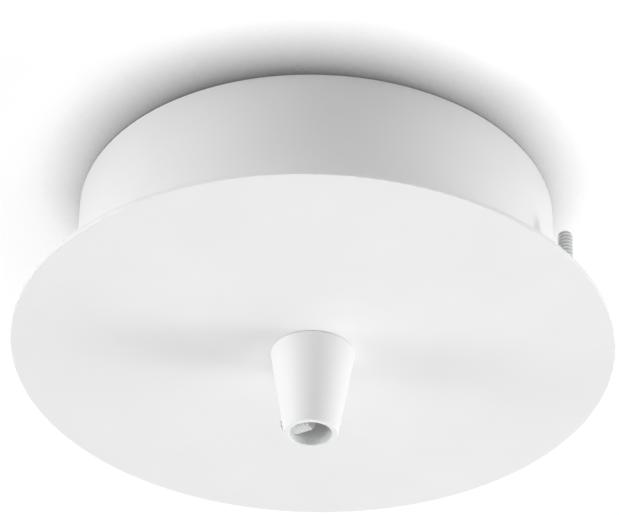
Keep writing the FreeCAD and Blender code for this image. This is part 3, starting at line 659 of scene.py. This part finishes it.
def make_camera():
    """The camera of the photograph."""
    data = bpy.data.cameras.new("camera")
    data.sensor_fit = "HORIZONTAL"
    data.sensor_width = SENSOR_WIDTH
    data.lens = FOCAL_PIXELS * SENSOR_WIDTH / IMAGE_WIDTH
    data.clip_start = CLIP_START
    camera = new_object("camera", data)
    back = Vector((0, -math.cos(CAMERA_BELOW), -math.sin(CAMERA_BELOW)))
    forward = -back
    right = forward.cross(Vector((0, 0, 1))).normalized()
    up = right.cross(forward)
    forward, right = turn_towards(forward, right, CAMERA_PAN)
    forward, up = turn_towards(forward, up, CAMERA_TILT)
    right, up = turn_towards(right, up, CAMERA_ROLL)
    pose = Matrix((right, up, -forward)).transposed().to_4x4()
    cover_under = spread("cover_disc")[0].z
    pose.translation = Vector((0, 0, cover_under)) + back * CAMERA_DISTANCE
    camera.matrix_world = pose
    bpy.context.scene.camera = camera


# Ceiling. Tones are the paint's own, for light it throws back and for what a camera sees.

CEILING_SIZE = 3.0
CEILING_HOLE = 46.5 * MM
CEILING_TONE = 0.8
CEILING_SEEN = 1.25
LIT_SHARE = 0.25
LIT_NEAR = 100 * MM
LIT_FAR = 220 * MM
SHADOW_REACH = 40 * MM
SHADOW_TILT = math.radians(30)
SHADOW_AZIMUTH = math.radians(84)
SHADOW_OPENNESS = (0.26, 0.59)
SHADOW_DEEPEST = 0.063
SHADOW_CURVE = 0.714
SHADOW_SAMPLES = 32


def ceiling_paint():
    """White where it is open, with painted shadow beside the rose, and clear from above.

    What the camera sees near the rose is part lit paint and part plain white. Far from it, it
    is all white.
    """
    graph = Nodes("ceiling_white")
    # Painted shadow: an occlusion test, leaning towards one side, darkens what the camera sees towards black
    # beside the rose.
    towards = graph.add("ShaderNodeCombineXYZ")
    towards.inputs["X"].default_value = math.sin(SHADOW_TILT) * math.cos(SHADOW_AZIMUTH)
    towards.inputs["Y"].default_value = math.sin(SHADOW_TILT) * math.sin(SHADOW_AZIMUTH)
    towards.inputs["Z"].default_value = -math.cos(SHADOW_TILT)
    open_share = graph.add("ShaderNodeAmbientOcclusion", samples=SHADOW_SAMPLES)
    open_share.inputs["Distance"].default_value = SHADOW_REACH
    graph.link(towards.outputs[0], open_share.inputs["Normal"])
    openness = graph.between(open_share.outputs["AO"], SHADOW_DEEPEST, 1, *SHADOW_OPENNESS)
    shade = graph.math("POWER", openness, SHADOW_CURVE)

    white = graph.shader("Emission", {"Color": grey(1)})
    lit = graph.shader("BsdfDiffuse", {"Color": grey(CEILING_SEEN)})
    lit_share = graph.between(graph.from_axis(), LIT_SHARE, 0, LIT_NEAR, LIT_FAR)
    shadow_black = graph.shader("Emission", {"Strength": 0})
    shown = graph.mix(shade, shadow_black, graph.mix(lit_share, white, lit))
    plain = graph.shader("BsdfDiffuse", {"Color": grey(CEILING_TONE)})
    from_above = graph.add("ShaderNodeNewGeometry").outputs["Backfacing"]
    below = graph.mix(graph.seen(), plain, shown)
    return graph.close(graph.mix(from_above, below, graph.shader("BsdfTransparent")))


def make_ceiling():
    """The ceiling with a hole over the drum's back; it can't be seen from above."""
    shape = bmesh.new()
    inner, outer = (
        ring(shape, [radius] * CEILING_STEPS, 0) for radius in (CEILING_HOLE, CEILING_SIZE)
    )
    band(shape, inner, outer)
    mesh = bpy.data.meshes.new("ceiling")
    shape.to_mesh(mesh)
    shape.free()
    ceiling = new_object("ceiling", mesh)
    mesh.materials.append(ceiling_paint())


# Light

AMBIENT = 0.12
SOFTBOX_DISTANCE = 1.1

# Softboxes: name, azimuth in degrees, degrees below the ceiling, width and height in metres, watts.
SOFTBOXES = (
    ("right_softbox", 0, 8, 0.9, 0.55, 4.0),
    ("left_softbox", 198, 8, 0.9, 0.55, 4.4),
    ("left_strip", 190, 8, 0.4, 0.6, 3.8),
    ("low_right_softbox", 0, 30, 0.55, 0.55, 2.6),
    ("low_right_lamp", 5, 24, 0.3, 0.3, 1.95),
    ("low_left_softbox", 180, 30, 0.55, 0.55, 1.4),
    ("back_right_softbox", 50, 50, 0.7, 0.55, 2.6),
    ("back_left_softbox", 145, 55, 0.7, 0.55, 0.5),
    ("under_softbox", 270, 75, 0.6, 0.6, 4.1),
    ("top_softbox", 90, -86, 0.6, 0.6, 7.0),
)


def make_softbox(name, azimuth, below, width, height, watts):
    """An area lamp on a sphere round the rose, facing it, with its width level.

    The lamps on the right leave no highlight, as in the photograph.
    """
    data = bpy.data.lights.new(name, "AREA")
    data.shape = "RECTANGLE"
    data.size, data.size_y = width, height
    data.energy = watts
    lamp = new_object(name, data)
    turn, drop = math.radians(azimuth), math.radians(below)
    level = Vector((math.cos(turn), math.sin(turn), 0))
    away = level * math.cos(drop) - Vector((0, 0, math.sin(drop)))
    lamp.location = away * SOFTBOX_DISTANCE
    lamp.rotation_euler = away.to_track_quat("Z", "Y").to_euler()
    lamp.visible_camera = False
    lamp.visible_glossy = "right" not in name


def make_world():
    """Dim light from all round, and plain white where the background is seen."""
    world = bpy.data.worlds.new("studio")
    bpy.context.scene.world = world
    graph = Nodes(world)
    plain = graph.shader("Background", {"Color": grey(AMBIENT)})
    white = graph.shader("Background", {"Color": grey(1)})
    graph.close(graph.mix(graph.seen(), plain, white))


def main():
    """Dress the CAD nodes, stand the finer pieces in for some of them, and set the stage."""
    dress_nodes()
    make_crisp_drum()
    make_crisp_grip()
    make_weld_studs()
    make_nipple()
    make_clamp_screw()
    make_camera()
    make_ceiling()
    make_world()
    for softbox in SOFTBOXES:
        make_softbox(*softbox)
    bpy.context.scene.view_settings.view_transform = "Standard"


main()
